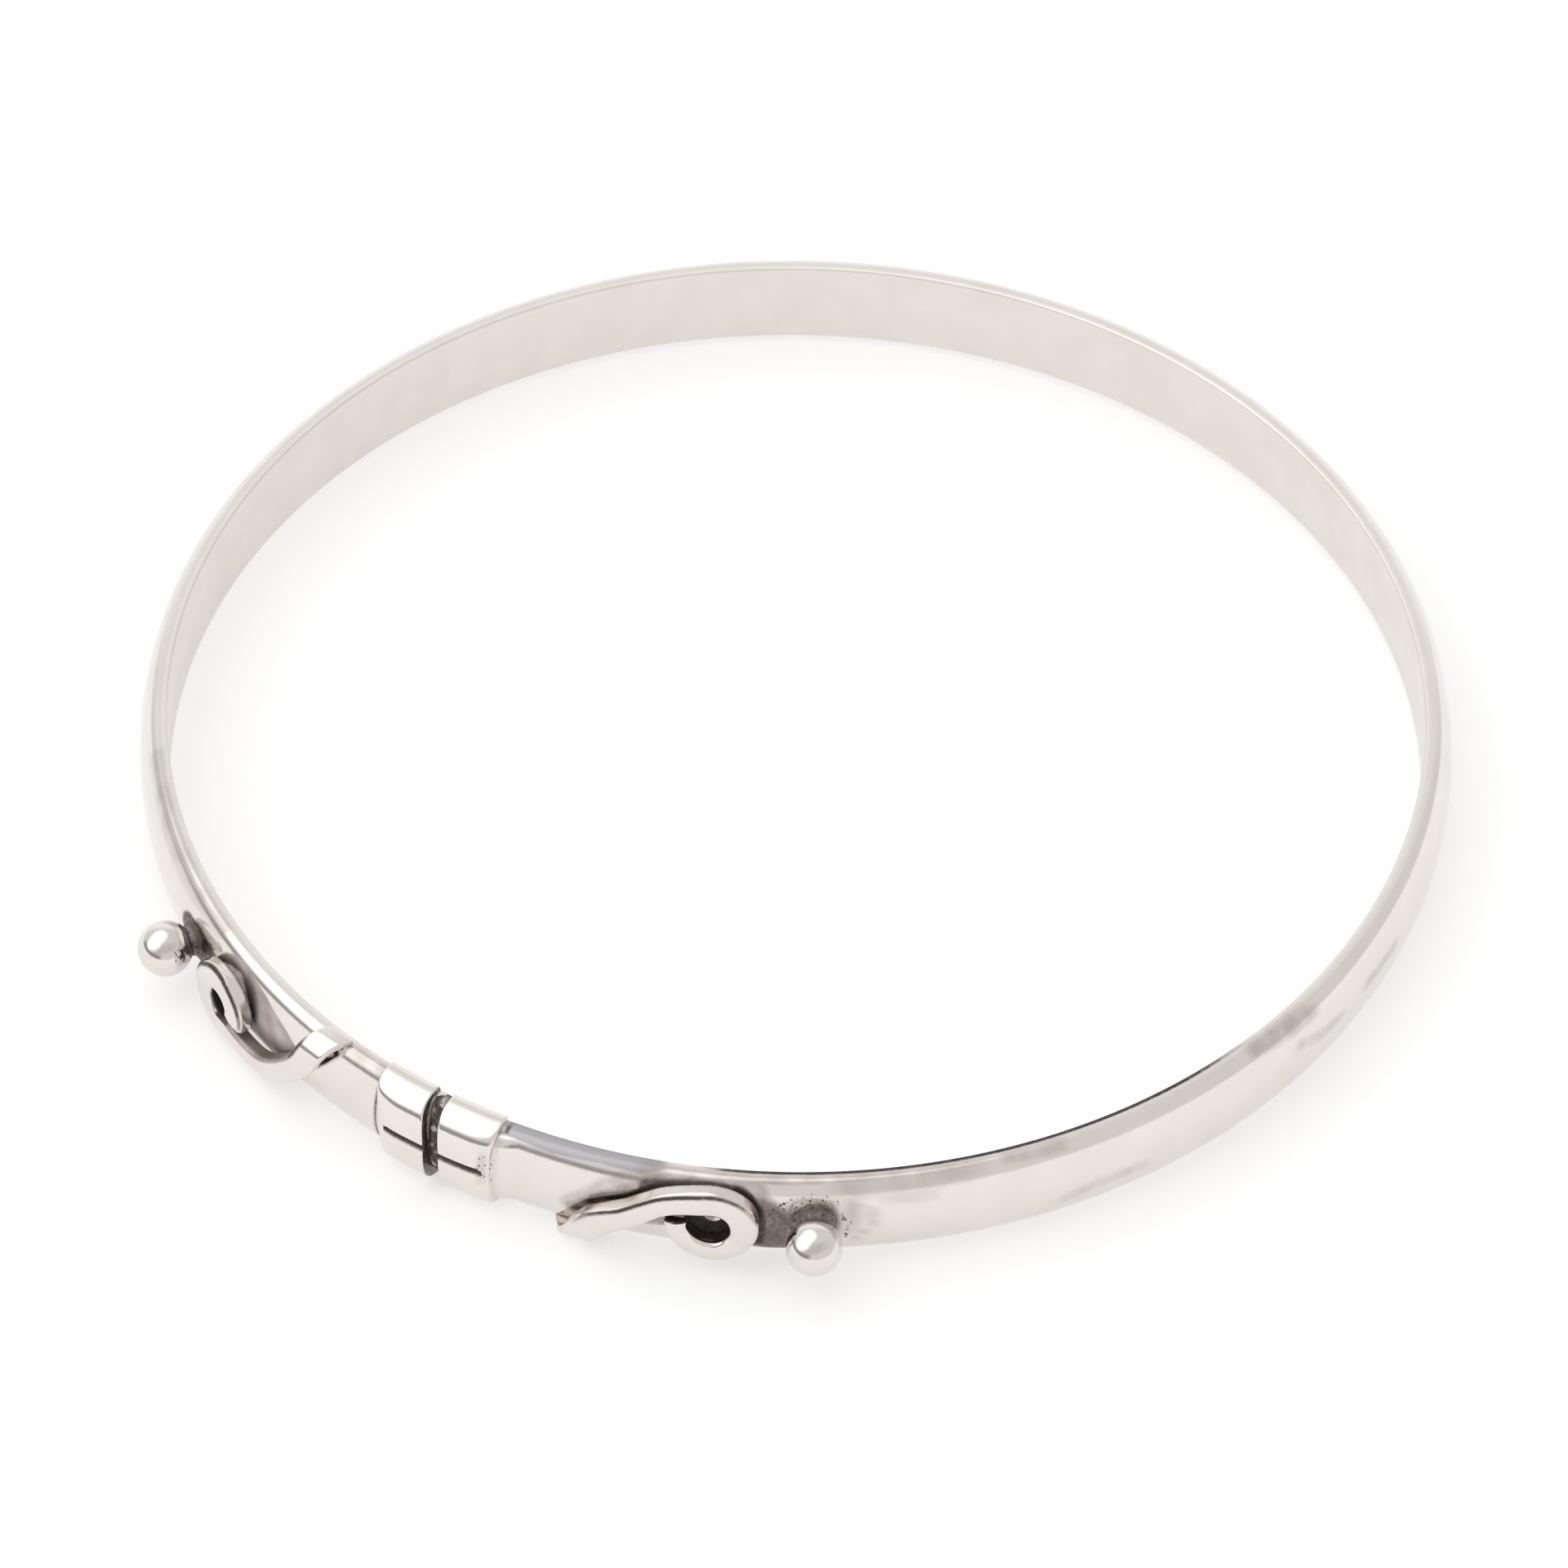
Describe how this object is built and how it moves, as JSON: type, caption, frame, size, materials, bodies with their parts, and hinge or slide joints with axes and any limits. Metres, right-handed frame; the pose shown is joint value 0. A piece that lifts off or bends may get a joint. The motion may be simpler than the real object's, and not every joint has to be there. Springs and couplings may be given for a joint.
{
  "type": "bangle bracelet",
  "caption": "Closed slip-on bangle in silver: half-round band, grooved collars either side of an oxidised seam, flat-wire scrolls curled into open eyes, and a ball beyond each eye.",
  "frame": {"origin": "bottom centre of the bounding box, in the plane of the lowest point of the ornament", "axes": "+Z along the ring's axis, upwards as it lies; the seam with its collars faces -Y; +X is to the right of the seam seen from outside"},
  "size_m": [0.068, 0.0686, 0.0058],
  "materials": {
    "band": "sterling silver, mirror-polished outside and satin inside",
    "collar": "sterling silver, hand-polished, grooves oxidised black",
    "scroll": "sterling silver, polished face, oxidised in the corners",
    "ball": "sterling silver, mirror-polished",
    "solder": "silver solder, rough, pitted and oxidised dark"
  },
  "bodies": {
    "root": {"band": "band", "seam_solder": "solder", "collar_right": "collar", "collar_left": "collar", "collar_fillet": "collar", "scroll_right": "scroll", "scroll_left": "scroll", "scroll_pad_right": "solder", "scroll_pad_left": "solder", "ball_right": "ball", "ball_left": "ball", "ball_neck_right": "solder", "ball_neck_left": "solder"}
  },
  "joints": []
}
